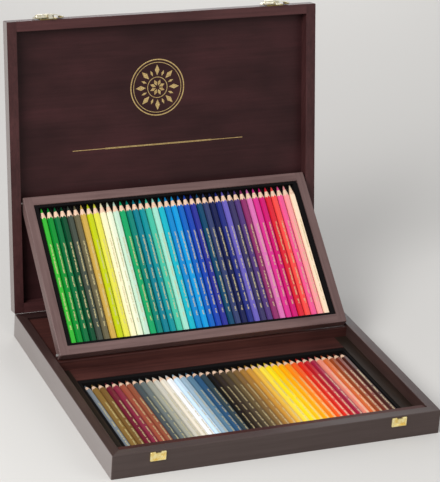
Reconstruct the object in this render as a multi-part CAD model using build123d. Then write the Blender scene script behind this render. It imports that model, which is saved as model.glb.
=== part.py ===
from build123d import *
import math
import os

# Wooden presentation case for two rows of coloured pencils. The lid leans back past upright and
# carries an upper tray on two pins, so the tray stands up on the rear platform of the base.
# Millimetres. Origin: centre of the base's underside. +X right, +Y back, +Z up.

# ---- driving dimensions ----
case_width = 390.0
case_depth = 348.0
base_height = 28.5
lid_height = 17.5
wall = 12.0
rim_gap = 0.3                 # between the two rims when the lid is shut
rebate = 6.0                  # how far the bottom and top panels reach into the walls
bottom_thick = 3.5
lid_panel_thick = 3.6
outer_round = 2.0
lid_round = 3.2
arris = 0.8                   # eased inner edges of the rims

lid_open_angle = 100.8
hinge_x = 120.0
hinge_width = 32.0
leaf_thick = 1.2
leaf_depth = 9.0
barrel_radius = 1.5
hinge_pin_radius = 0.8
knuckle_gap = 0.25
knuckle_play = 0.3            # round a knuckle, in the wood and in the other leaf
running = 0.05                # radial clearance of a pin that turns

ledge_height = 13.2
side_ledge_width = 15.4
rear_ledge_depth = 26.0
platform_front_y = 50.0
platform_top = 25.2
platform_thick = 4.0
riser_thick = 6.0
batten_depth = 12.0
front_rest_depth = 8.0        # batten the shut tray lies on
front_rest_height = 8.0
front_rest_top = 26.8

tray_width = 361.0
tray_length = 204.0
tray_thick = 13.5
tray_border = 11.0
tray_panel_thick = 3.0
tray_rebate = 5.0
tray_tilt = 39.5
tray_front_y = 45.6           # upper front edge of the standing tray
tray_front_z = 35.7
pivot_from_end = 4.5
pivot_depth = 6.75
pivot_radius = 1.5
pivot_seat = 8.0
pivot_reach = 6.5
glide_from_end = 4.0
glide_depth = 8.0
glide_radius = 1.8
glide_reach = 2.1

pencil_count = 40
pencils_per_group = 10
pencil_pitch = 8.2
pencil_flats = 7.0
pencil_length = 175.0
cone_length = 13.0            # where the cone meets the middle of a flat
tip_radius = 0.5
pencil_top_drop = 1.0         # below the ledge, lower row
tray_pencil_drop = 2.0        # below the tray's face, upper row
lower_tip_y = 17.0
upper_tip_from_end = 14.3

sheet = 1.0                   # formed plastic sheet of the two inserts
seat_gap = 0.15
ridge_below_centre = 1.6
insert_rim = 3.9              # insert's rim above the pencils' centre line
insert_corner = 3.0

keeper_x = 143.0
keeper_width = 18.2
keeper_height = 10.9
keeper_stand = 1.6
keeper_top_drop = 1.4
keeper_border = 2.0
keeper_dish = 0.8
keeper_bar = 0.8              # sill between the notch and the dished field
notch_width = 6.6
notch_depth = 1.3

clasp_plate_width = 22.0
clasp_plate_thick = 0.8
clasp_plate_low = 1.6         # above the rim plane
clasp_plate_high = 13.4
clasp_axis_rise = 9.6
clasp_axis_out = 2.4
clasp_barrel = 1.25
clasp_pin_radius = 0.6
clasp_lug = 2.2
clasp_lug_x = 6.5
clasp_raised = 4.0            # the lever stands off by this angle, unlatched
lever_width = 36.0
lever_skin = 1.1
lever_crown = 5.8
lever_end_out = 2.2
lever_low = -0.4
lever_high = 11.0
tongue_width = 5.4
bead_radius = 2.5             # thumb bead at the lever's left end
bead_length = 15.0
bead_x = -10.3
bead_out = 3.6
bead_rise = 0.3

# ---- worked out from them ----
half_w = case_width / 2
half_d = case_depth / 2
inner_w = case_width - 2 * wall
hinge_y = half_d               # the hinge pins lie in the plane of the rear face
hinge_z = base_height + rim_gap / 2
pencil_radius = pencil_flats / 2 / math.cos(math.pi / 6)
row_width = pencil_count * pencil_pitch
lower_centre_z = ledge_height - pencil_top_drop - pencil_flats / 2
tray_centre_w = -tray_pencil_drop - pencil_flats / 2
bed_floor = -pencil_flats / 2 - seat_gap

BOTTOM = (Align.CENTER, Align.CENTER, Align.MIN)
FRONT_BOTTOM = (Align.CENTER, Align.MIN, Align.MIN)
FRONT_TOP = (Align.CENTER, Align.MIN, Align.MAX)

open_lid = Pos(0, hinge_y, hinge_z) * Rot(-lid_open_angle, 0, 0) * Pos(0, -hinge_y, -hinge_z)
stand_tray = Pos(0, tray_front_y, tray_front_z) * Rot(tray_tilt, 0, 0)

os.makedirs("parts", exist_ok=True)


def save(node, shape):
    shape.label = node
    export_step(shape, f"parts/{node}.step")


def edges_at(shape, z, reach_x, reach_y):
    """Edges of one rectangular loop at height z, given the loop's half sizes."""
    def on_loop(edge):
        c = edge.center()
        level = abs(c.Z - z) < 0.01
        side = abs(abs(c.X) - reach_x) < 0.01 and abs(c.Y) < reach_y - 0.01
        end = abs(abs(c.Y) - reach_y) < 0.01 and abs(c.X) < reach_x - 0.01
        return level and (side or end)
    return [edge for edge in shape.edges() if on_loop(edge)]


# ---- base: mitred walls, bottom panel ----
def mitre_wedge(corner_a, corner_b, inward):
    """Prism that takes one side of a mitred frame: 45 degrees at both corners."""
    (ax, ay), (bx, by) = corner_a, corner_b
    run_x, run_y = (bx - ax), (by - ay)
    size = math.hypot(run_x, run_y)
    ux, uy = run_x / size * inward, run_y / size * inward
    nx, ny = -uy, ux
    outline = Polyline((ax, ay), (bx, by), (bx - ux + nx, by - uy + ny),
                       (ax + ux + nx, ay + uy + ny), close=True)
    return extrude(make_face(outline), base_height)


def along_pin(radius, length):
    """Cylinder on the hinge pin's axis, centred on x = 0."""
    return Pos(0, hinge_y, hinge_z) * Rot(0, 90, 0) * Cylinder(radius, length)


def hinge_mortises(z_low):
    """Pockets for the two leaves in one rim, and the grooves that take their knuckles."""
    pocket = Box(hinge_width, leaf_depth + wall, leaf_thick, align=FRONT_BOTTOM)
    cut = Pos(0, half_d - leaf_depth, z_low) * pocket
    cut += along_pin(barrel_radius + knuckle_play, hinge_width + 2 * knuckle_play)
    return [Pos(side * hinge_x, 0, 0) * cut for side in (-1, 1)]


base_ring = Box(case_width, case_depth, base_height, align=BOTTOM)
base_ring = fillet(base_ring.edges().filter_by(Axis.Z).group_by(Axis.Y)[0], 1.2)
base_ring -= Box(inner_w, case_depth - 2 * wall, base_height, align=BOTTOM)
bottom_w = inner_w + 2 * rebate
bottom_d = case_depth - 2 * wall + 2 * rebate
base_ring -= Box(bottom_w, bottom_d, bottom_thick, align=BOTTOM)
base_ring = fillet(edges_at(base_ring, base_height, inner_w / 2, half_d - wall), arris)
# the rear edge stays square, so that the open lid stands close behind it
outer_rim = [e for e in base_ring.edges() if abs(e.center().Z - base_height) < 0.01
             and (abs(e.center().X) > half_w - 1.0 or e.center().Y < 1.0 - half_d)]
base_ring = fillet(outer_rim, 1.0)
for mortise in hinge_mortises(base_height - leaf_thick):
    base_ring -= mortise

fl, fr = (-half_w, -half_d), (half_w, -half_d)
bl, br = (-half_w, half_d), (half_w, half_d)
mitre_depth = 2 * wall
save("base_front_wall", base_ring & mitre_wedge(fl, fr, mitre_depth))
save("base_right_wall", base_ring & mitre_wedge(fr, br, mitre_depth))
save("base_back_wall", base_ring & mitre_wedge(br, bl, mitre_depth))
save("base_left_wall", base_ring & mitre_wedge(bl, fl, mitre_depth))
save("base_bottom_panel", Box(bottom_w, bottom_d, bottom_thick, align=BOTTOM))

# ---- base: ledge round the lower insert, and the rear platform ----
well_front = -(half_d - wall)
well_back = half_d - wall
ledge_rise = ledge_height - bottom_thick
side_ledge = Box(side_ledge_width, platform_front_y - well_front, ledge_rise, align=FRONT_BOTTOM)
side_ledge_x = inner_w / 2 - side_ledge_width / 2
save("left_ledge", Pos(-side_ledge_x, well_front, bottom_thick) * side_ledge)
save("right_ledge", Pos(side_ledge_x, well_front, bottom_thick) * side_ledge)

insert_room = inner_w - 2 * side_ledge_width
rear_ledge = Box(insert_room, rear_ledge_depth, ledge_rise, align=FRONT_BOTTOM)
save("rear_ledge", Pos(0, platform_front_y - rear_ledge_depth, bottom_thick) * rear_ledge)

riser_top = platform_top - platform_thick
support_rise = riser_top - bottom_thick
riser = Box(inner_w, riser_thick, support_rise, align=FRONT_BOTTOM)
save("platform_riser", Pos(0, platform_front_y, bottom_thick) * riser)
batten = Box(inner_w, batten_depth, support_rise, align=FRONT_BOTTOM)
save("platform_batten", Pos(0, well_back - batten_depth, bottom_thick) * batten)
front_rest = Box(inner_w, front_rest_depth, front_rest_height, align=FRONT_TOP)
save("front_rest_batten", Pos(0, well_front, front_rest_top) * front_rest)
board = Box(inner_w, well_back - platform_front_y, platform_thick, align=FRONT_BOTTOM)
board = fillet(board.edges().filter_by(Axis.X).group_by(Axis.Y)[0].sort_by(Axis.Z)[-1:], 1.0)
save("platform_board", Pos(0, platform_front_y, riser_top) * board)


# ---- pencils: hexagonal barrels, sharpened ----
def pencil():
    """One pencil along +Y, blunt end at y = 0, axis on the Y axis, a flat on top."""
    hexagon = Plane.XZ * RegularPolygon(pencil_radius, 6)
    barrel = extrude(hexagon, -pencil_length)
    slope = (pencil_flats / 2 - tip_radius) / cone_length
    reach = (pencil_radius + 1 - tip_radius) / slope
    turned = Polyline((0, 0), (pencil_radius + 1, 0), (pencil_radius + 1, pencil_length - reach),
                      (tip_radius, pencil_length), (0, pencil_length), close=True)
    return barrel & revolve(make_face(turned), Axis.Y)


def pencil_groups(place):
    """Compounds of ten pencils, left to right."""
    one = pencil()
    first_x = -(pencil_count - 1) / 2 * pencil_pitch
    groups = []
    for start in range(0, pencil_count, pencils_per_group):
        row = range(start, start + pencils_per_group)
        solids = [place * Pos(first_x + i * pencil_pitch, 0, 0) * one for i in row]
        groups.append(Compound(children=solids))
    return groups


# ---- inserts: formed black sheet with one channel per pencil ----
def insert_section(outer_width):
    """Section across the channels, pencil centre line at z = 0."""
    floor_half = pencil_radius / 2 + seat_gap
    ridge = -ridge_below_centre
    ridge_half = floor_half + (ridge - bed_floor) * math.tan(math.pi / 6)
    first_x = -(pencil_count - 1) / 2 * pencil_pitch
    wall_x = row_width / 2
    chain = [(-outer_width / 2, insert_rim), (-wall_x, insert_rim), (-wall_x, ridge)]
    for i in range(pencil_count):
        x = first_x + i * pencil_pitch
        chain += [(x - ridge_half, ridge), (x - floor_half, bed_floor),
                  (x + floor_half, bed_floor), (x + ridge_half, ridge)]
    chain += [(wall_x, ridge), (wall_x, insert_rim), (outer_width / 2, insert_rim)]
    under = [(x + (sheet * math.copysign(1, x) if abs(x) == wall_x else 0), z - sheet)
             for x, z in reversed(chain)]
    return make_face(Polyline(*chain, *under, close=True))


def pencil_insert(outer_width, outer_length, bed_start, bed_length):
    """Insert along +Y from y = 0: channels from bed_start, closed at both ends."""
    bed = extrude(Plane.XZ * insert_section(outer_width), -bed_length)
    shape = Pos(0, bed_start, 0) * bed
    end_height = insert_rim - bed_floor + sheet
    end_wall = Box(row_width + 2 * sheet, sheet, end_height, align=FRONT_BOTTOM)
    far = bed_start + bed_length
    for y in (bed_start - sheet, far):
        shape += Pos(0, y, bed_floor - sheet) * end_wall
    near_flange = Box(outer_width, bed_start, sheet, align=FRONT_TOP)
    far_flange = Box(outer_width, outer_length - far, sheet, align=FRONT_TOP)
    shape += Pos(0, 0, insert_rim) * near_flange
    shape += Pos(0, far, insert_rim) * far_flange
    corners = [e for e in shape.edges().filter_by(Axis.Z)
               if abs(abs(e.center().X) - outer_width / 2) < 0.01 and e.length < sheet + 0.01]
    return fillet(corners, insert_corner)


insert_play = 0.3
lower_insert_y = well_front + insert_play
lower_insert_length = platform_front_y - rear_ledge_depth - lower_insert_y - insert_play
lower_end_y = lower_tip_y - pencil_length
lower_bed_start = lower_end_y - seat_gap - lower_insert_y
bed_length = pencil_length + 2 * seat_gap
lower_insert = pencil_insert(insert_room - 2 * insert_play, lower_insert_length,
                             lower_bed_start, bed_length)
save("lower_insert", Pos(0, lower_insert_y, lower_centre_z) * lower_insert)
for number, group in enumerate(pencil_groups(Pos(0, lower_end_y, lower_centre_z)), 1):
    save(f"lower_pencils_{number}", group)

# ---- upper tray, built flat: y = 0 at its lower end, z = 0 at its face ----
tray_outer = Box(tray_width, tray_length, tray_thick, align=FRONT_TOP)
tray_outer = fillet(tray_outer.edges(), 1.0)
opening_w = tray_width - 2 * tray_border
opening_l = tray_length - 2 * tray_border
tray_frame = tray_outer - Pos(0, tray_border, 0) * Box(opening_w, opening_l, tray_thick, align=FRONT_TOP)
panel_w = opening_w + 2 * tray_rebate
panel_l = opening_l + 2 * tray_rebate
tray_panel = Pos(0, tray_border - tray_rebate, -tray_thick) * Box(
    panel_w, panel_l, tray_panel_thick, align=FRONT_BOTTOM)
tray_frame -= tray_panel

pivot_y = tray_length - pivot_from_end
pivot_cut = Pos(0, pivot_y, -pivot_depth) * Rot(0, 90, 0) * Cylinder(pivot_radius, tray_width + 2)
glide_cut = Pos(0, glide_from_end, -glide_depth) * Rot(0, 90, 0) * Cylinder(glide_radius, tray_width + 2)
seat_block = Box(tray_width - 2 * pivot_seat, tray_length, tray_thick, align=FRONT_TOP)
tray_frame -= (pivot_cut + glide_cut) - seat_block

stile_box = Box(tray_border, tray_length, tray_thick, align=FRONT_TOP)
stile_x = (tray_width - tray_border) / 2
rail_box = Box(opening_w, tray_border, tray_thick, align=FRONT_TOP)
save("tray_left_stile", stand_tray * (tray_frame & Pos(-stile_x, 0, 0) * stile_box))
save("tray_right_stile", stand_tray * (tray_frame & Pos(stile_x, 0, 0) * stile_box))
save("tray_lower_rail", stand_tray * (tray_frame & rail_box))
save("tray_upper_rail", stand_tray * (tray_frame & Pos(0, tray_length - tray_border, 0) * rail_box))
save("tray_bottom_panel", stand_tray * tray_panel)

upper_insert_l = opening_l - 2 * insert_play
upper_end_y = tray_length - upper_tip_from_end - pencil_length
upper_insert_y = tray_border + insert_play
upper_insert = pencil_insert(opening_w - 2 * insert_play, upper_insert_l,
                             upper_end_y - seat_gap - upper_insert_y, bed_length)
save("upper_insert", stand_tray * Pos(0, upper_insert_y, tray_centre_w) * upper_insert)
upper_place = stand_tray * Pos(0, upper_end_y, tray_centre_w)
for number, group in enumerate(pencil_groups(upper_place), 1):
    save(f"upper_pencils_{number}", group)


def side_pins(radius, y, depth, reach):
    """A pair of pins standing out of the tray's sides."""
    length = pivot_seat + reach
    body = Rot(0, 90, 0) * Cylinder(radius, length)
    body = chamfer(body.edges(), 0.3)
    offset = tray_width / 2 - pivot_seat + length / 2
    return Compound(children=[stand_tray * Pos(side * offset, y, -depth) * body for side in (-1, 1)])


side_play = (inner_w - tray_width) / 2
save("tray_pivot_pins", side_pins(pivot_radius, pivot_y, pivot_depth, side_play + pivot_reach))
save("tray_glide_pins", side_pins(glide_radius, glide_from_end, glide_depth, glide_reach))

# ---- lid, built shut and swung open: stiles the full depth, rails between them ----
lid_low = base_height + rim_gap
lid_top = base_height + lid_height
lid_ring = Pos(0, 0, lid_low) * Box(case_width, case_depth, lid_top - lid_low, align=BOTTOM)
lid_ring = fillet(lid_ring.edges().filter_by(Axis.Z), 1.2)
outer_top = [e for e in lid_ring.edges() if abs(e.center().Z - lid_top) < 0.01]
lid_ring = fillet(outer_top, lid_round)
lid_ring -= Pos(0, 0, lid_low) * Box(inner_w, case_depth - 2 * wall, lid_height, align=BOTTOM)
lid_panel = Pos(0, 0, lid_top - lid_panel_thick) * Box(bottom_w, bottom_d, lid_panel_thick, align=BOTTOM)
lid_ring -= lid_panel
lid_ring = fillet(edges_at(lid_ring, lid_low, inner_w / 2, half_d - wall), arris)
for mortise in hinge_mortises(lid_low):
    lid_ring -= mortise

# the pivot bores lie where the standing tray's upper pins are
pivot_world = stand_tray * Pos(0, pivot_y, -pivot_depth)
bore_reach = inner_w + 2 * pivot_reach + 1
bore = Rot(0, 90, 0) * Cylinder(pivot_radius + running, bore_reach)
pivot_point = pivot_world.position
lid_ring = open_lid * lid_ring - Pos(0, pivot_point.Y, pivot_point.Z) * bore

stile = Box(wall, case_depth, lid_height, align=BOTTOM)
rail = Box(inner_w, wall, lid_height, align=BOTTOM)
lid_pieces = {
    "lid_left_stile": Pos(-half_w + wall / 2, 0, base_height) * stile,
    "lid_right_stile": Pos(half_w - wall / 2, 0, base_height) * stile,
    "lid_front_rail": Pos(0, -half_d + wall / 2, base_height) * rail,
    "lid_rear_rail": Pos(0, half_d - wall / 2, base_height) * rail,
}
for node, region in lid_pieces.items():
    save(node, lid_ring & (open_lid * region))
save("lid_panel", open_lid * lid_panel)


# ---- butt hinges: two outer knuckles on the base leaf, one on the lid leaf ----
def leaf(z_low, own_spans, other_spans, bore_radius):
    """Leaf plate let into a rim, with knuckles over its own x spans and room for the others."""
    plate = Pos(0, half_d - leaf_depth, z_low) * Box(hinge_width, leaf_depth, leaf_thick, align=FRONT_BOTTOM)
    for low, high in other_spans:
        room = along_pin(barrel_radius + knuckle_play, high - low + 2 * knuckle_gap)
        plate -= Pos((low + high) / 2, 0, 0) * room
    for low, high in own_spans:
        plate += Pos((low + high) / 2, 0, 0) * along_pin(barrel_radius, high - low)
    return plate - along_pin(bore_radius, hinge_width)


third = hinge_width / 3
outer_spans = [(-hinge_width / 2, -third / 2 - knuckle_gap), (third / 2 + knuckle_gap, hinge_width / 2)]
inner_span = [(-third / 2, third / 2)]
base_leaf = leaf(base_height - leaf_thick, outer_spans, inner_span, hinge_pin_radius)
lid_leaf = leaf(lid_low, inner_span, outer_spans, hinge_pin_radius + running)
hinge_pin = along_pin(hinge_pin_radius, hinge_width)
for name, side in (("left", -1), ("right", 1)):
    at_hinge = Pos(side * hinge_x, 0, 0)
    save(f"hinge_base_leaf_{name}", at_hinge * base_leaf)
    save(f"hinge_lid_leaf_{name}", open_lid * at_hinge * lid_leaf)
    save(f"hinge_pin_{name}", at_hinge * hinge_pin)


# ---- keeper plates on the base's front: a rim round a dished field, notched for the tongue ----
def keeper():
    """Against the plane y = 0, outwards along -Y, top edge at z = 0."""
    body = Box(keeper_width, keeper_stand, keeper_height, align=(Align.CENTER, Align.MAX, Align.MAX))
    body = fillet(body.edges().filter_by(Axis.Y), 1.0)
    body = chamfer(body.faces().sort_by(Axis.Y)[0].edges(), 0.5)
    field_top = -notch_depth - keeper_bar
    field_h = keeper_height + field_top - keeper_border
    field = Box(keeper_width - 2 * keeper_border, keeper_dish, field_h, align=FRONT_TOP)
    body -= Pos(0, -keeper_stand, field_top) * fillet(field.edges().filter_by(Axis.Y), 0.8)
    notch = Box(notch_width, 4 * keeper_stand, 2 * notch_depth)
    return body - fillet(notch.edges().filter_by(Axis.Y), 0.6)


# ---- clasps on the lid's front edge: plate with lugs, pin, and a bowed lever ----
def across(radius, x_low, x_high):
    """Cylinder along X between two stations, on the clasp's own axis."""
    centre = Pos((x_low + x_high) / 2, -clasp_axis_out, clasp_axis_rise)
    return centre * Rot(0, 90, 0) * Cylinder(radius, x_high - x_low)


def clasp_plate():
    """Against y = 0, outwards along -Y, z measured from the lid's rim plane."""
    rise = clasp_plate_high - clasp_plate_low
    plate = Box(clasp_plate_width, clasp_plate_thick, rise, align=(Align.CENTER, Align.MAX, Align.MIN))
    plate = fillet(plate.edges().filter_by(Axis.Y), 2.0)
    shape = Pos(0, 0, clasp_plate_low) * plate
    for side in (-1, 1):
        middle = side * clasp_lug_x
        foot = Box(clasp_lug, clasp_axis_out, 2 * clasp_barrel, align=(Align.CENTER, Align.MAX, Align.CENTER))
        shape += Pos(middle, 0, clasp_axis_rise) * foot
        shape += across(clasp_barrel, middle - clasp_lug / 2, middle + clasp_lug / 2)
    return shape - across(clasp_pin_radius, -clasp_plate_width, clasp_plate_width)


def clasp_lever():
    """Latched: a bow over the plate, hung from the pin by a web, with thumb bead and tongue."""
    reach = lever_width / 2
    outer = ThreePointArc((-reach, -lever_end_out), (0, -lever_crown), (reach, -lever_end_out))
    inner_end = lever_end_out - lever_skin
    inner = ThreePointArc((reach, -inner_end), (0, lever_skin - lever_crown), (-reach, -inner_end))
    sides = Line(outer @ 1, inner @ 0) + Line(inner @ 1, outer @ 0)
    bow = Pos(0, 0, lever_low) * extrude(make_face(outer + inner + sides), lever_high - lever_low)
    blank = Box(2 * reach, 4 * lever_crown, lever_high - lever_low, align=(Align.CENTER, Align.CENTER, Align.MIN))
    blank = fillet(blank.edges().filter_by(Axis.Y), 2.6)
    shape = bow & (Pos(0, 0, lever_low) * blank)
    web_half = clasp_lug_x - clasp_lug / 2 - 0.2
    web = Box(2 * web_half, lever_crown - lever_skin + 0.3 - clasp_axis_out, 2.0,
              align=(Align.CENTER, Align.MAX, Align.CENTER))
    shape += Pos(0, -clasp_axis_out, clasp_axis_rise) * web
    shape += across(clasp_barrel, -web_half, web_half)
    shape -= across(clasp_pin_radius + running, -reach, reach)

    nose_out = keeper_stand - keeper_dish + 0.2
    front = keeper_stand + 0.2
    tip = -rim_gap - keeper_top_drop - notch_depth - keeper_bar - 0.25
    strip = Polyline((lever_crown - lever_skin, 2.0), (lever_crown, 2.0), (lever_crown, 0.2),
                     (front + 2.6, -1.6), (front + 1.0, -2.6), (front + 1.0, tip - 0.7),
                     (nose_out, tip - 0.7), (nose_out, tip), (front, tip), (front, -2.2),
                     (front + 1.8, -0.9), (lever_crown - lever_skin, 0.6), close=True)
    side_view = Plane(origin=(-tongue_width / 2, 0, 0), x_dir=(0, -1, 0), z_dir=(-1, 0, 0))
    shape += extrude(side_view * make_face(strip), -tongue_width)

    bead = Cylinder(bead_radius, bead_length - 2 * bead_radius)
    for end in (-1, 1):
        bead += Pos(0, 0, end * (bead_length / 2 - bead_radius)) * Sphere(bead_radius)
    return shape + Pos(bead_x, -bead_out, bead_rise) * Rot(0, 90, 0) * bead


front_y = -half_d
keeper_place = Pos(0, front_y, base_height - keeper_top_drop)
clasp_place = Pos(0, front_y, lid_low)
axis_place = Pos(0, -clasp_axis_out, clasp_axis_rise)
raise_lever = axis_place * Rot(-clasp_raised, 0, 0) * Pos(0, clasp_axis_out, -clasp_axis_rise)
keeper_body, plate_body, lever_body = keeper(), clasp_plate(), clasp_lever()
pin_half = clasp_lug_x + clasp_lug / 2
clasp_pin = across(clasp_pin_radius, -pin_half, pin_half)
for name, side in (("left", -1), ("right", 1)):
    shift = Pos(side * keeper_x, 0, 0)
    save(f"keeper_{name}", shift * keeper_place * keeper_body)
    save(f"clasp_plate_{name}", open_lid * shift * clasp_place * plate_body)
    save(f"clasp_pin_{name}", open_lid * shift * clasp_place * clasp_pin)
    save(f"clasp_lever_{name}", open_lid * shift * clasp_place * raise_lever * lever_body)
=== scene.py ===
import math

import bmesh
import bpy
from mathutils import Matrix, Vector


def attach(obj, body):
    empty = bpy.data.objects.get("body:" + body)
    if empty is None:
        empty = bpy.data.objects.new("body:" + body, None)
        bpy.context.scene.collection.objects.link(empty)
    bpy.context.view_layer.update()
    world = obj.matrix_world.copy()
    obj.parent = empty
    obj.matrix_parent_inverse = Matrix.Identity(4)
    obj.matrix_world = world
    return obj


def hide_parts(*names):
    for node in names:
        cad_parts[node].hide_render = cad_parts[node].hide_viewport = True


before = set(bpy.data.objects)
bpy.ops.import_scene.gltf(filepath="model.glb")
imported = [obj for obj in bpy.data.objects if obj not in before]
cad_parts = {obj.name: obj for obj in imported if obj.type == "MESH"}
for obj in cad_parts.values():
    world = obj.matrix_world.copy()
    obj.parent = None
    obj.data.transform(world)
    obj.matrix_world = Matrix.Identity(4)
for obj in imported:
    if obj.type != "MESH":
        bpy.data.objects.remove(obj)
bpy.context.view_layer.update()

MM = 0.001

# ---- Camera ----
# A long lens held up and to the left of the case, looking down on the open lid and both rows of
# pencils, with the camera tipped a few degrees. The standard view keeps the hex colours true.
sensor_width = 36.0
focal_pixels = 2176.1
image_height = 482.0
camera_place = Vector((-0.9101, -2.0388, 1.1769))
camera_yaw, camera_pitch, camera_roll = map(math.radians, (23.743, 24.077, 4.239))
camera_data = bpy.data.cameras.new("camera")
camera_data.sensor_width = sensor_width
camera_data.lens = focal_pixels * sensor_width / image_height
camera_data.clip_start, camera_data.clip_end = 0.05, 20.0
camera = bpy.data.objects.new("camera", camera_data)
bpy.context.collection.objects.link(camera)
camera.matrix_world = (
    Matrix.Translation(camera_place)
    @ Matrix.Rotation(-camera_yaw, 4, "Z")
    @ Matrix.Rotation(math.pi / 2 - camera_pitch, 4, "X")
    @ Matrix.Rotation(camera_roll, 4, "Z")
)
bpy.context.scene.camera = camera
bpy.context.scene.view_settings.view_transform = "Standard"


# ---- Base: walls, floor panel, ledges and rear platform ----
# Hardwood stained reddish brown and sprayed with satin lacquer. The four walls are mitred and
# glued round the floor panel; the ledges and the platform are plain boards glued inside.
def linear(colour):
    """sRGB hex to the linear values that shaders take, with alpha."""
    parts = [int(colour[i:i + 2], 16) / 255 for i in (1, 3, 5)]
    return [v / 12.92 if v <= 0.04045 else ((v + 0.055) / 1.055) ** 2.4 for v in parts] + [1.0]


def add_node(tree, kind, settings=None, links=None):
    """A shader node: settings go to its properties or input sockets, links feed its inputs."""
    node = tree.nodes.new(kind)
    for key, value in (settings or {}).items():
        if isinstance(key, int) or key in node.inputs:
            node.inputs[key].default_value = value
        else:
            setattr(node, key, value)
    for key, source in (links or {}).items():
        tree.links.new(source, node.inputs[key])
    return node


def new_material(name):
    """An empty material with its output node: (material, tree, output)."""
    material = bpy.data.materials.new(name)
    material.use_nodes = True
    material.node_tree.nodes.clear()
    return material, material.node_tree, add_node(material.node_tree, "ShaderNodeOutputMaterial")


def set_ramp(node, stops):
    """Colour ramp stops as (position, hex)."""
    ramp = node.color_ramp
    while len(ramp.elements) < len(stops):
        ramp.elements.new(1.0)
    for element, (position, colour) in zip(ramp.elements, stops):
        element.position = position
        element.color = linear(colour)


def lacquered_wood(name, dark, middle, light, turn=(0, 0, 0), roughness=0.4, shine=0.4, painted_side_sheen=None,
                   streak_share=0.55):
    """Stained fine-pored hardwood under satin lacquer. Grain runs along the piece's own X until
    turned: soft streaks 3 mm wide and 90 mm long, pores 0.5 mm by 7 mm, drawn coarse to show.
    The outer left and right faces take a painted greyish sheen, mixed into their colour, when seen at a
    low angle."""
    material, tree, output = new_material(name)
    place = add_node(tree, "ShaderNodeTexCoord").outputs["Object"]
    turned = add_node(tree, "ShaderNodeMapping", {"Rotation": turn}, {"Vector": place}).outputs[0]
    streak_space = add_node(tree, "ShaderNodeMapping", {"Scale": (11, 330, 330)}, {"Vector": turned})
    streaks = add_node(tree, "ShaderNodeTexNoise", {"Scale": 1.0, "Detail": 5.0, "Roughness": 0.62,
                       "Distortion": 0.35}, {"Vector": streak_space.outputs[0]})
    cloud_space = add_node(tree, "ShaderNodeMapping", {"Scale": (10, 26, 26)}, {"Vector": turned})
    clouds = add_node(tree, "ShaderNodeTexNoise", {"Scale": 1.0, "Detail": 3.0},
                      {"Vector": cloud_space.outputs[0]})
    pore_space = add_node(tree, "ShaderNodeMapping", {"Scale": (140, 2000, 2000)}, {"Vector": turned})
    pores = add_node(tree, "ShaderNodeTexNoise", {"Scale": 1.0, "Detail": 1.0},
                     {"Vector": pore_space.outputs[0]})
    cloud_part = add_node(tree, "ShaderNodeMath", {"operation": "MULTIPLY", 1: 1 - streak_share},
                          {0: clouds.outputs[0]})
    blend = add_node(tree, "ShaderNodeMath", {"operation": "MULTIPLY_ADD", 1: streak_share},
                     {0: streaks.outputs[0], 2: cloud_part.outputs[0]})
    ramp = add_node(tree, "ShaderNodeValToRGB", links={"Fac": blend.outputs[0]})
    set_ramp(ramp, [(0.34, dark), (0.5, middle), (0.68, light)])
    pore_mask = add_node(tree, "ShaderNodeMapRange", {"From Min": 0.60, "From Max": 0.70,
                         "To Min": 0.0, "To Max": 0.35}, {"Value": pores.outputs[0]})
    tone = add_node(tree, "ShaderNodeMix", {"data_type": "RGBA"}, {
        "Factor": pore_mask.outputs[0], 6: ramp.outputs[0]})
    tone.inputs[7].default_value = linear(dark)
    relief = add_node(tree, "ShaderNodeBump", {"Strength": 0.12, "Distance": 0.0002},
                      {"Height": streaks.outputs[0]})
    gloss = add_node(tree, "ShaderNodeMapRange", {"From Min": 0.3, "From Max": 0.7,
                     "To Min": roughness - 0.05, "To Max": roughness + 0.08},
                     {"Value": clouds.outputs[0]})
    surface = add_node(tree, "ShaderNodeBsdfPrincipled", {"IOR": 1.5, "Specular IOR Level": shine},
                       {"Base Color": tone.outputs[2], "Roughness": gloss.outputs[0],
                        "Normal": relief.outputs[0]})
    # Painted sheen: on the outer side faces the colour is mixed toward a light grey at low view angles,
    # standing in for a reflection.
    if painted_side_sheen:
        across = add_node(tree, "ShaderNodeSeparateXYZ", links={"Vector": place}).outputs["X"]
        away = add_node(tree, "ShaderNodeMath", {"operation": "ABSOLUTE"}, {0: across})
        half_width = 195.0
        fade_start = half_width - 0.8
        fade_end = half_width - 0.3
        outside = add_node(tree, "ShaderNodeMapRange", {
            "From Min": fade_start * MM, "From Max": fade_end * MM}, {"Value": away.outputs[0]})
        facing = add_node(tree, "ShaderNodeLayerWeight", {"Blend": 0.5}).outputs["Facing"]
        low_angle = add_node(tree, "ShaderNodeMapRange", {
            "From Min": 0.2, "From Max": 0.6, "To Max": 0.75}, {"Value": facing})
        sheen = add_node(tree, "ShaderNodeMath", {"operation": "MULTIPLY"}, {
            0: outside.outputs[0], 1: low_angle.outputs[0]})
        painted_sheen_tone = add_node(tree, "ShaderNodeMix", {"data_type": "RGBA"}, {
            "Factor": sheen.outputs[0], 6: tone.outputs[2]})
        painted_sheen_tone.inputs[7].default_value = linear(painted_side_sheen)
        tree.links.new(painted_sheen_tone.outputs[2], surface.inputs["Base Color"])
    tree.links.new(surface.outputs[0], output.inputs[0])
    return material


def finish_node(node, material):
    """A CAD node keeps its shape and takes this material all over."""
    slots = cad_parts[node].data.materials
    slots.clear()
    slots.append(material)


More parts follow.
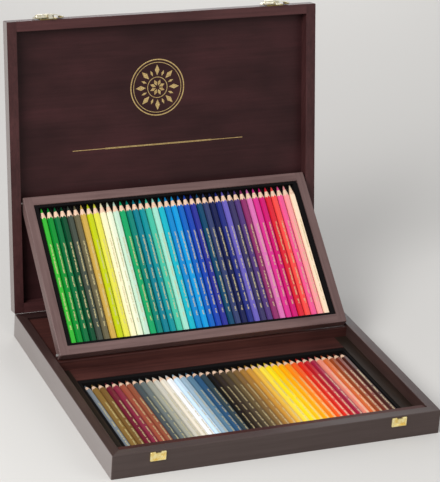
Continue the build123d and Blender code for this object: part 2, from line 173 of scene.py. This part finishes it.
ALONG_Y = (0, 0, math.radians(90))
# The light grey of the painted sheen, mixed into the outer side faces of the base walls and lid stiles.
painted_sheen_grey = "#9c9491"
base_rail_wood = lacquered_wood("base_wood_grain_across", "#473b38", "#4d413e", "#544744", shine=0.2)
base_side_wood_painted_sheen = lacquered_wood("base_wood_grain_deep_painted_sheen", "#322220", "#3f2d2a", "#4b3733", turn=ALONG_Y,
                                painted_side_sheen=painted_sheen_grey)
# Painted shade: the back wall takes darker colours than the side walls, for its rim lying out of the
# light.
base_rear_wood_painted_shade = lacquered_wood("base_wood_grain_rear_painted_shade", "#241615", "#2f1e1d", "#3a2725",
                                roughness=0.5, shine=0.15)
ledge_wood = lacquered_wood("ledge_wood", "#341b18", "#462622", "#56302a", roughness=0.5, shine=0.2)
side_ledge_wood = lacquered_wood("side_ledge_wood", "#1f1611", "#281d16", "#33261c", turn=ALONG_Y,
                                 roughness=0.55, shine=0.2)
floor_wood = lacquered_wood("floor_panel_wood", "#2a1917", "#3a2421", "#4a302b", roughness=0.5, shine=0.25)
finish_node("base_front_wall", base_rail_wood)
finish_node("base_back_wall", base_rear_wood_painted_shade)
for node in ("base_left_wall", "base_right_wall"):
    finish_node(node, base_side_wood_painted_sheen)
for node in ("rear_ledge", "platform_riser", "platform_board", "platform_batten", "front_rest_batten"):
    finish_node(node, ledge_wood)
for node in ("left_ledge", "right_ledge"):
    finish_node(node, side_ledge_wood)
finish_node("base_bottom_panel", floor_wood)

# ---- Lid: two stiles, two rails and a panel ----
# The same hardwood, in a shallow frame: the stiles run the full height and the rails butt between
# them. The panel is thin veneered board in a rebate, darker, with a faint red figure.
lid_angle = math.radians(100.8)
hinge_place = Vector((0, 174.0 * MM, 28.65 * MM))
lid_opened = (Matrix.Translation(hinge_place) @ Matrix.Rotation(-lid_angle, 4, "X")
              @ Matrix.Translation(-hinge_place))
lid_rail_wood = lacquered_wood("lid_wood_grain_across", "#3b2121", "#482929", "#553232", shine=0.25)
# The lid's outer stile faces carry the same painted sheen.
lid_stile_wood_painted_sheen = lacquered_wood("lid_wood_grain_upright_painted_sheen", "#351d1d", "#422525", "#4f2e2e",
                                turn=(-lid_angle, 0, math.radians(90)), shine=0.25,
                                painted_side_sheen=painted_sheen_grey)
lid_panel_wood = lacquered_wood("lid_panel_veneer", "#2b1718", "#351d1e", "#412325",
                                roughness=0.45, shine=0.15, streak_share=0.3)
for node in ("lid_front_rail", "lid_rear_rail"):
    finish_node(node, lid_rail_wood)
for node in ("lid_left_stile", "lid_right_stile"):
    finish_node(node, lid_stile_wood_painted_sheen)
finish_node("lid_panel", lid_panel_wood)

# ---- Upper tray: frame and bottom ----
# A frame of the same hardwood, stiles full length and rails between, with a thin board let into
# its underside. Its frame colours are painted lighter than the case's, as painted light for the light it
# catches leaning back.
tray_angle = math.radians(39.5)
tray_corner = Vector((0, 45.6 * MM, 35.7 * MM))
tray_stood = Matrix.Translation(tray_corner) @ Matrix.Rotation(tray_angle, 4, "X")
# Painted light: lighter colours than the same wood in the case.
tray_rail_wood_painted_light = lacquered_wood("tray_wood_grain_across_painted_light", "#5d4644", "#6e5653", "#7c625f", shine=0.35)
tray_stile_wood_painted_light = lacquered_wood("tray_wood_grain_upright_painted_light", "#5a4442", "#6b5451", "#78605d",
                                 turn=(-tray_angle, 0, math.radians(90)), shine=0.35)
for node in ("tray_upper_rail", "tray_lower_rail"):
    finish_node(node, tray_rail_wood_painted_light)
for node in ("tray_left_stile", "tray_right_stile"):
    finish_node(node, tray_stile_wood_painted_light)
finish_node("tray_bottom_panel", floor_wood)


# ---- Inserts: the black beds that hold the pencils ----
# Vacuum-formed black plastic sheet with a short flocked nap, one channel for each pencil and a
# rounded flat rim that drops into the wooden frame. The nap swallows the light.
def flocked_sheet():
    """Flock is drawn as 0.4 mm mottling, coarser than its real 0.05 mm fibres."""
    material, tree, output = new_material("black_flocked_sheet")
    place = add_node(tree, "ShaderNodeTexCoord").outputs["Object"]
    nap = add_node(tree, "ShaderNodeTexNoise", {"Scale": 2500.0, "Detail": 2.0}, {"Vector": place})
    ramp = add_node(tree, "ShaderNodeValToRGB", links={"Fac": nap.outputs[0]})
    set_ramp(ramp, [(0.3, "#080607"), (0.75, "#100d0e")])
    relief = add_node(tree, "ShaderNodeBump", {"Strength": 0.3, "Distance": 0.0001},
                      {"Height": nap.outputs[0]})
    surface = add_node(tree, "ShaderNodeBsdfPrincipled", {
        "Roughness": 0.9, "Specular IOR Level": 0.15},
        {"Base Color": ramp.outputs[0], "Normal": relief.outputs[0]})
    tree.links.new(surface.outputs[0], output.inputs[0])
    return material


flocked_black = flocked_sheet()
finish_node("lower_insert", flocked_black)
finish_node("upper_insert", flocked_black)


# ---- Pencils ----
# Hexagonal cedar pencils, 175 mm long and 7 mm across the flats, dipped in gloss lacquer of the
# lead's colour and sharpened to a 13 mm cone that leaves a scalloped edge on the lacquer. A pale
# gilt stamping in short dashes runs along the middle of the upper flat.
pencil_length = 175.0
flats = 7.0
cone = 13.0
tip_radius = 0.5
lead_radius = 1.9
corner_reach = 3.97
upper_flat_height = 3.0
stamping_half_width = 0.82
pencil_pitch = 8.2
row_middle = 19.5
cone_slope = (flats / 2 - tip_radius) / cone
# Vertex bearings across one flat, in degrees, and the stamped stretches from the blunt end, in mm.
FLAT_ANGLES = (-30, -27, -13, 0, 13, 27)
STAMPINGS = ((16.3, 22.3), (27.3, 39.3), (41.6, 63.6), (69.6, 83.0), (87.8, 126.8))
LACQUER, STAMPED, CEDAR, LEAD = range(4)


def hexagon_reach(angle):
    """Distance from the axis to the lacquered face at this angle, corners softened."""
    within = math.remainder(angle - math.radians(30), math.radians(60))
    return min(flats / 2 / math.cos(within), corner_reach)


def pencil_template():
    """One pencil along +Y with its blunt end at y = 0 and a flat on top, in millimetres."""
    shape = bmesh.new()
    uv = shape.loops.layers.uv.new("along")
    upright = Matrix.Rotation(math.pi / 2, 4, "X")
    ring = bmesh.ops.create_circle(shape, segments=36, radius=1.0, matrix=upright)
    bearings = sorted(math.radians(30 + 60 * side + step) for side in range(6) for step in FLAT_ANGLES)
    order = sorted(ring["verts"], key=lambda v: math.atan2(v.co.z, v.co.x) % math.tau)
    bearing = dict(zip(order, bearings))
    start_of_cone = {a: pencil_length - (hexagon_reach(a) - tip_radius) / cone_slope for a in bearings}
    lead_from = pencil_length - (lead_radius - tip_radius) / cone_slope
    stations = []
    for start, end in STAMPINGS:
        stations += [
            (lambda a, y=start: y, hexagon_reach, LACQUER),
            (lambda a, y=end: y, hexagon_reach, STAMPED),
        ]
    stations += [
        (lambda a: start_of_cone[a], hexagon_reach, LACQUER),
        (lambda a: lead_from, lambda a: lead_radius, CEDAR),
        (lambda a: pencil_length, lambda a: tip_radius, LEAD),
    ]

    def settle(verts, y, reach):
        for v in verts:
            a = bearing[v]
            v.co = (reach(a) * math.cos(a), y(a), reach(a) * math.sin(a))

    settle(order, lambda a: 0.0, hexagon_reach)
    edges = list(shape.edges)
    blunt_end = bmesh.ops.contextual_create(shape, geom=edges)["faces"][0]
    blunt_end.material_index = CEDAR
    for y, reach, finish in stations:
        grown = bmesh.ops.extrude_edge_only(shape, edges=edges)["geom"]
        new_verts = [g for g in grown if isinstance(g, bmesh.types.BMVert)]
        placed = list(bearing)
        for v in new_verts:
            source = min(placed, key=lambda old: (old.co - v.co).length)
            bearing[v] = bearing[source]
        settle(new_verts, y, reach)
        edges = [g for g in grown if isinstance(g, bmesh.types.BMEdge)]
        for face in [g for g in grown if isinstance(g, bmesh.types.BMFace)]:
            middle = face.calc_center_median()
            on_top = middle.z > upper_flat_height and abs(middle.x) < stamping_half_width
            face.material_index = finish if finish != STAMPED or on_top else LACQUER
            face.smooth = finish in (CEDAR, LEAD)
    tip = bmesh.ops.contextual_create(shape, geom=edges)["faces"][0]
    tip.material_index = LEAD
    bmesh.ops.inset_individual(shape, faces=[blunt_end], thickness=flats / 2 - lead_radius)
    blunt_end.material_index = LEAD
    bmesh.ops.recalc_face_normals(shape, faces=shape.faces)
    for face in shape.faces:
        for loop in face.loops:
            loop[uv].uv = (loop.vert.co.y * MM, loop.vert.co.x * MM)
    mesh = bpy.data.meshes.new("pencil_template")
    shape.to_mesh(mesh)
    shape.free()
    return mesh


def gloss_lacquer(name, stamped):
    """Lacquer in many coats: a clear gloss over each pencil's own colour. The stamped version adds
    pale gilt foil, broken into marks about 2 mm long."""
    material, tree, output = new_material(name)
    colour = add_node(tree, "ShaderNodeAttribute", {"attribute_name": "lacquer"}).outputs["Color"]
    surface = add_node(tree, "ShaderNodeBsdfPrincipled", {
        "IOR": 1.5, "Roughness": 0.38, "Specular IOR Level": 0.3, "Coat Weight": 0.1,
        "Coat Roughness": 0.15}, {"Base Color": colour})
    if stamped:
        along = add_node(tree, "ShaderNodeUVMap", {"uv_map": "along"}).outputs[0]
        stretch = add_node(tree, "ShaderNodeMapping", {"Scale": (420, 900, 1)}, {"Vector": along})
        marks = add_node(tree, "ShaderNodeTexNoise", {"Scale": 1.0, "Detail": 2.0},
                         {"Vector": stretch.outputs[0]})
        mask = add_node(tree, "ShaderNodeMapRange", {"From Min": 0.41, "From Max": 0.49, "To Max": 0.75},
                        {"Value": marks.outputs[0]})
        foil = add_node(tree, "ShaderNodeBsdfPrincipled", {
            "Base Color": linear("#d2c48e"), "Metallic": 0.15, "Roughness": 0.4})
        surface = add_node(tree, "ShaderNodeMixShader", links={
            0: mask.outputs[0], 1: surface.outputs[0], 2: foil.outputs[0]})
    tree.links.new(surface.outputs[0], output.inputs[0])
    return material


def bare_cedar():
    """Sharpened incense cedar: pinkish tan, with fine rings that the cut crosses at a slant."""
    material, tree, output = new_material("bare_cedar")
    place = add_node(tree, "ShaderNodeTexCoord").outputs["Object"]
    grain = add_node(tree, "ShaderNodeTexNoise", {"Scale": 900.0, "Detail": 3.0}, {"Vector": place})
    ramp = add_node(tree, "ShaderNodeValToRGB", links={"Fac": grain.outputs[0]})
    set_ramp(ramp, [(0.3, "#dbae8b"), (0.7, "#f8dcc4")])
    surface = add_node(tree, "ShaderNodeBsdfPrincipled", {"Roughness": 0.6},
                       {"Base Color": ramp.outputs[0]})
    tree.links.new(surface.outputs[0], output.inputs[0])
    return material


def waxy_lead():
    """Wax-bound pigment core, cut by the sharpener: the lacquer's colour, with a dull shine."""
    material, tree, output = new_material("waxy_lead")
    place = add_node(tree, "ShaderNodeTexCoord").outputs["Object"]
    grain = add_node(tree, "ShaderNodeTexNoise", {"Scale": 1500.0}, {"Vector": place})
    gloss = add_node(tree, "ShaderNodeMapRange", {"To Min": 0.4, "To Max": 0.6},
                     {"Value": grain.outputs[0]})
    colour = add_node(tree, "ShaderNodeAttribute", {"attribute_name": "lacquer"}).outputs["Color"]
    deep = add_node(tree, "ShaderNodeHueSaturation", {"Value": 0.8}, {"Color": colour})
    surface = add_node(tree, "ShaderNodeBsdfPrincipled", {"Specular IOR Level": 0.3},
                       {"Base Color": deep.outputs[0], "Roughness": gloss.outputs[0]})
    tree.links.new(surface.outputs[0], output.inputs[0])
    return material


pencil_materials = [
    gloss_lacquer("gloss_lacquer", False),
    gloss_lacquer("stamped_lacquer", True),
    bare_cedar(),
    waxy_lead(),
]
one_pencil = pencil_template()
stamping_shift = 0.02


def add_piece(name, shape, materials):
    """An object at the origin made from this shape, with these materials."""
    mesh = bpy.data.meshes.new(name)
    shape.to_mesh(mesh)
    shape.free()
    for material in materials:
        mesh.materials.append(material)
    piece = bpy.data.objects.new(name, mesh)
    bpy.context.collection.objects.link(piece)
    return piece


def pencil_piece(name, body, place, first_number, colours):
    """Ten pencils side by side, lying where the CAD node of this name lies. Each reads the stamping
    pattern 20 mm further across, so that no two are alike."""
    shape = bmesh.new()
    for step, colour in enumerate(colours):
        verts_before = len(shape.verts)
        faces_before = len(shape.faces)
        shape.from_mesh(one_pencil)
        shape.verts.ensure_lookup_table()
        shape.faces.ensure_lookup_table()
        tints = shape.loops.layers.float_color
        tint = tints.get("lacquer") or tints.new("lacquer")
        uv = shape.loops.layers.uv["along"]
        number = first_number + step
        x = (number - row_middle) * pencil_pitch * MM
        shift = place @ Matrix.Translation((x, 0, 0)) @ Matrix.Scale(MM, 4)
        bmesh.ops.transform(shape, matrix=shift, verts=shape.verts[verts_before:])
        value = linear(colour)
        for face in shape.faces[faces_before:]:
            for loop in face.loops:
                loop[tint] = value
                loop[uv].uv.y += stamping_shift * number
    piece = add_piece(name + "_lacquered", shape, pencil_materials)
    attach(piece, body)
    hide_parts(name)


# The lacquers from left to right, two lines for each group of ten pencils.
upper_colours = [
    "#34b030", "#06882e", "#056a38", "#04482a", "#424a40",
    "#665f46", "#cba64c", "#bfcc0a", "#e2dd4e", "#f7f0c6",
    "#e9efd2", "#c4e0cb", "#10a062", "#0a8070", "#0b7c8c",
    "#0a8f96", "#46c0a2", "#a4e0cc", "#14b3c4", "#0f86c8",
    "#109ad8", "#0d62ba", "#1a44ac", "#2b3192", "#0c4668",
    "#35406b", "#161d4c", "#242d7c", "#6a5fb8", "#3b3560",
    "#523a78", "#8f3068", "#dd74b4", "#d8338e", "#cd1470",
    "#d92436", "#f4504a", "#ee5a94", "#f9a0a0", "#fde3c4",
]
lower_colours = [
    "#7d858c", "#8a6a34", "#7a5a2e", "#701c30", "#8a2a42",
    "#a0503c", "#96523a", "#4a5256", "#6f7674", "#a6a698",
    "#cfcabc", "#efe6d4", "#fbfdff", "#cfe6f6", "#9fb6c4",
    "#5c8098", "#2d567a", "#34464e", "#15120f", "#352b22",
    "#4c4030", "#685638", "#83643a", "#a87a38", "#d39a3c",
    "#edc04a", "#ffe648", "#ffe21c", "#ffcb08", "#ffb200",
    "#fb9016", "#f2601c", "#e22c18", "#c01a24", "#a81e40",
    "#f09078", "#d97038", "#9c4a22", "#7c3220", "#4c221a",
]
upper_place = tray_stood @ Matrix.Translation((0, 14.7 * MM, -5.5 * MM))
lower_place = Matrix.Translation((0, -158.0 * MM, 8.7 * MM))
for group in range(4):
    span = slice(10 * group, 10 * group + 10)
    pencil_piece(f"upper_pencils_{group + 1}", "tray", upper_place, 10 * group, upper_colours[span])
    pencil_piece(f"lower_pencils_{group + 1}", "base", lower_place, 10 * group, lower_colours[span])


# ---- Brass: clasps, keepers and hinges; steel pins ----
# Pressed brass, polished and clear-lacquered, pinned to the lid's front edge and the base's front.
# The hinges' leaves are let into the two rims, so only their knuckles show at the back.
def polished_metal(name, colour, worn, roughness):
    """Handling leaves faint smears about 4 mm across in the polish."""
    material, tree, output = new_material(name)
    place = add_node(tree, "ShaderNodeTexCoord").outputs["Object"]
    smears = add_node(tree, "ShaderNodeTexNoise", {"Scale": 260.0, "Detail": 3.0}, {"Vector": place})
    gloss = add_node(tree, "ShaderNodeMapRange", {"To Min": roughness - 0.06, "To Max": roughness + 0.12},
                     {"Value": smears.outputs[0]})
    ramp = add_node(tree, "ShaderNodeValToRGB", links={"Fac": smears.outputs[0]})
    set_ramp(ramp, [(0.35, worn), (0.6, colour)])
    surface = add_node(tree, "ShaderNodeBsdfPrincipled", {"Metallic": 0.85},
                       {"Base Color": ramp.outputs[0], "Roughness": gloss.outputs[0]})
    tree.links.new(surface.outputs[0], output.inputs[0])
    return material


yellow_brass = polished_metal("yellow_brass", "#fff0b2", "#f2d47c", 0.36)
pale_brass = polished_metal("pale_brass", "#faf5e0", "#e6ddbd", 0.2)
worn_brass = polished_metal("worn_brass", "#c2ab6a", "#94804a", 0.36)
steel = polished_metal("polished_steel", "#c9c8c4", "#a9a8a4", 0.28)
for side in ("left", "right"):
    for node in ("keeper", "hinge_base_leaf", "hinge_lid_leaf"):
        finish_node(f"{node}_{side}", yellow_brass)
    finish_node(f"clasp_lever_{side}", pale_brass)
    finish_node(f"clasp_plate_{side}", worn_brass)
    for node in ("clasp_pin", "hinge_pin"):
        finish_node(f"{node}_{side}", steel)
finish_node("tray_pivot_pins", steel)
finish_node("tray_glide_pins", steel)

# ---- Lever feet ----
# A small cast foot soldered under each clasp lever's right end, where the bow comes down to the
# wood. It rides with the lever, which stands off by four degrees until it is latched.
clasp_x = {"left": -143.0, "right": 143.0}
clasp_axis = Vector((0, -176.4, 38.4))
lever_standoff = math.radians(4)
lever_raised = (Matrix.Translation(clasp_axis) @ Matrix.Rotation(-lever_standoff, 4, "X")
                @ Matrix.Translation(-clasp_axis))
lever_place = lid_opened @ Matrix.Scale(MM, 4) @ lever_raised
foot_size = (5.0, 1.7, 7.4)
foot_rounding = 0.5
foot_place = Vector((14.8, -175.65, 33.6))
for side, middle in clasp_x.items():
    foot = bmesh.new()
    bmesh.ops.create_cube(foot, size=1.0, matrix=Matrix.Diagonal((*foot_size, 1)))
    bmesh.ops.bevel(foot, geom=foot.edges[:], offset=foot_rounding, affect="EDGES", segments=3,
                    profile=0.5, material=-1)
    bmesh.ops.translate(foot, vec=foot_place + Vector((middle, 0, 0)), verts=foot.verts)
    bmesh.ops.transform(foot, matrix=lever_place, verts=foot.verts)
    lever_foot = add_piece(f"lever_foot_{side}", foot, [worn_brass])
    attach(lever_foot, f"clasp_{side}")

# ---- Keeper pins ----
# Each keeper is held by two round-headed brass pins, 1.4 mm across, driven through the dished
# field into the front wall.
pin_step = 5.2
pin_y = -174.8
pin_z = 21.6
head_radius = 0.7
flattened = Matrix.Diagonal((1, 0.5, 1, 1))
for side, middle in clasp_x.items():
    heads = bmesh.new()
    for step in (-pin_step, pin_step):
        seat = Matrix.Translation((middle + step, pin_y, pin_z)) @ flattened
        bmesh.ops.create_uvsphere(heads, u_segments=20, v_segments=12, radius=head_radius, matrix=seat)
    bmesh.ops.scale(heads, vec=(MM, MM, MM), verts=heads.verts)
    for face in heads.faces:
        face.smooth = True
    pins = add_piece(f"keeper_pins_{side}", heads, [yellow_brass])
    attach(pins, "base")


# ---- Gilt rule and medallion on the lid's panel ----
# Hot-stamped gold foil, lying almost flush on the veneer: a long thin rule with a thicker bar in
# the middle of it, and above it plain rings round a rosette of pointed petals.
def gold_foil():
    """Foil laid by a heated die, with a slight mottle where it grips the grain."""
    material, tree, output = new_material("stamped_gold_foil")
    place = add_node(tree, "ShaderNodeTexCoord").outputs["Object"]
    mottle = add_node(tree, "ShaderNodeTexNoise", {"Scale": 700.0, "Detail": 3.0}, {"Vector": place})
    ramp = add_node(tree, "ShaderNodeValToRGB", links={"Fac": mottle.outputs[0]})
    set_ramp(ramp, [(0.35, "#b09058"), (0.65, "#d8be82")])
    surface = add_node(tree, "ShaderNodeBsdfPrincipled", {"Metallic": 0.5, "Roughness": 0.45},
                       {"Base Color": ramp.outputs[0]})
    tree.links.new(surface.outputs[0], output.inputs[0])
    return material


panel_face = 42.4
foil = 0.08
foil_gold = gold_foil()


def foil_piece(name, shape):
    """A foil shape drawn flat in millimetres on the closed lid's ceiling, swung open with it."""
    bmesh.ops.recalc_face_normals(shape, faces=shape.faces)
    bmesh.ops.transform(shape, matrix=lid_opened @ Matrix.Scale(MM, 4), verts=shape.verts)
    piece = add_piece(name, shape, [foil_gold])
    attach(piece, "lid")


rule_y = -13.8
rule_bars = ((-114.0, 104.0, 0.7), (-73.0, 63.0, 1.7))
rule = bmesh.new()
for left, right, height in rule_bars:
    bar = Matrix.Translation(((left + right) / 2, rule_y, panel_face - foil / 2)) @ Matrix.Diagonal(
        (right - left, height, foil, 1))
    bmesh.ops.create_cube(rule, size=1.0, matrix=bar)
foil_piece("gilt_rule", rule)

centre = Vector((-6.0, -83.0, panel_face))
ring_sizes = ((33.0, 1.3), (29.8, 0.7), (12.0, 0.8))
rings = bmesh.new()
for radius, width in ring_sizes:
    section = Matrix.Translation(centre + Vector((radius + width / 2, 0, -foil / 2))) @ Matrix.Diagonal(
        (width, 1, foil, 1)) @ Matrix.Rotation(math.pi / 2, 4, "X") @ Matrix.Rotation(math.pi / 4, 4, "Z")
    profile = bmesh.ops.create_circle(rings, segments=4, radius=math.sqrt(0.5), matrix=section)["verts"]
    edges = [e for e in rings.edges if all(v in profile for v in e.verts)]
    bmesh.ops.spin(rings, geom=profile + edges, cent=centre, axis=(0, 0, 1), angle=math.tau, steps=96,
                   use_merge=True)
foil_piece("gilt_rings", rings)


def petal(shape, inner, outer, half_width, turn):
    """One pointed petal between two radii of the rosette."""
    place = Matrix.Translation(centre) @ Matrix.Rotation(turn, 4, "Z") @ Matrix.Translation(
        ((inner + outer) / 2, 0, 0)) @ Matrix.Diagonal(((outer - inner) / 2, half_width, 1, 1))
    bmesh.ops.create_circle(shape, cap_ends=True, segments=4, radius=1.0, matrix=place)


# Inner radius, outer radius, half width, and how far round its eighth each petal stands.
petal_kinds = ((14.6, 27.5, 2.9, 0.0), (14.6, 22.0, 1.5, 0.5), (2.2, 9.8, 2.0, 0.5))
petal_count = 8
rosette = bmesh.new()
for number in range(petal_count):
    for inner, outer, half_width, offset in petal_kinds:
        petal(rosette, inner, outer, half_width, math.tau * (number + offset) / petal_count)
grown = bmesh.ops.extrude_face_region(rosette, geom=rosette.faces[:])["geom"]
raised = [g for g in grown if isinstance(g, bmesh.types.BMVert)]
bmesh.ops.translate(rosette, vec=(0, 0, -foil), verts=raised)
foil_piece("gilt_rosette", rosette)

# ---- Studio: floor, room light and lamps ----
# A pale seamless floor, one large soft lamp over the left shoulder, weaker ones at the right and
# behind, and an even pale room.
floor_reach = 6.0
floor_gap = 0.2 * MM
floor_shape = bmesh.new()
bmesh.ops.create_grid(floor_shape, x_segments=1, y_segments=1, size=floor_reach)
bmesh.ops.translate(floor_shape, vec=(0, 0, -floor_gap), verts=floor_shape.verts)
floor_paper, paper_tree, paper_output = new_material("floor_paper")
paper_surface = add_node(paper_tree, "ShaderNodeBsdfPrincipled", {
    "Base Color": linear("#d8d6d2"), "Roughness": 0.9})
paper_tree.links.new(paper_surface.outputs[0], paper_output.inputs[0])
floor = add_piece("floor", floor_shape, [floor_paper])

world = bpy.data.worlds.new("room")
bpy.context.scene.world = world
world.use_nodes = True
room_light = world.node_tree.nodes["Background"]
room_light.inputs["Color"].default_value = linear("#e6e6e8")
room_light.inputs["Strength"].default_value = 0.62


def soft_lamp(name, place, aim, size, watts):
    """A square softbox that faces its aim point."""
    data = bpy.data.lights.new(name, "AREA")
    data.shape, data.size, data.energy = "SQUARE", size, watts
    lamp = bpy.data.objects.new(name, data)
    bpy.context.collection.objects.link(lamp)
    lamp.location = place
    lamp.rotation_euler = (Vector(aim) - Vector(place)).to_track_quat("-Z", "Y").to_euler()


soft_lamp("key_lamp", (-1.4, -0.7, 1.4), (0, 0, 0.12), 1.0, 34)
soft_lamp("fill_lamp", (1.6, -1.6, 1.4), (0, 0, 0.12), 1.4, 8)
soft_lamp("rear_lamp", (0.7, 1.9, 0.9), (0, 0.2, 0.3), 1.0, 8)
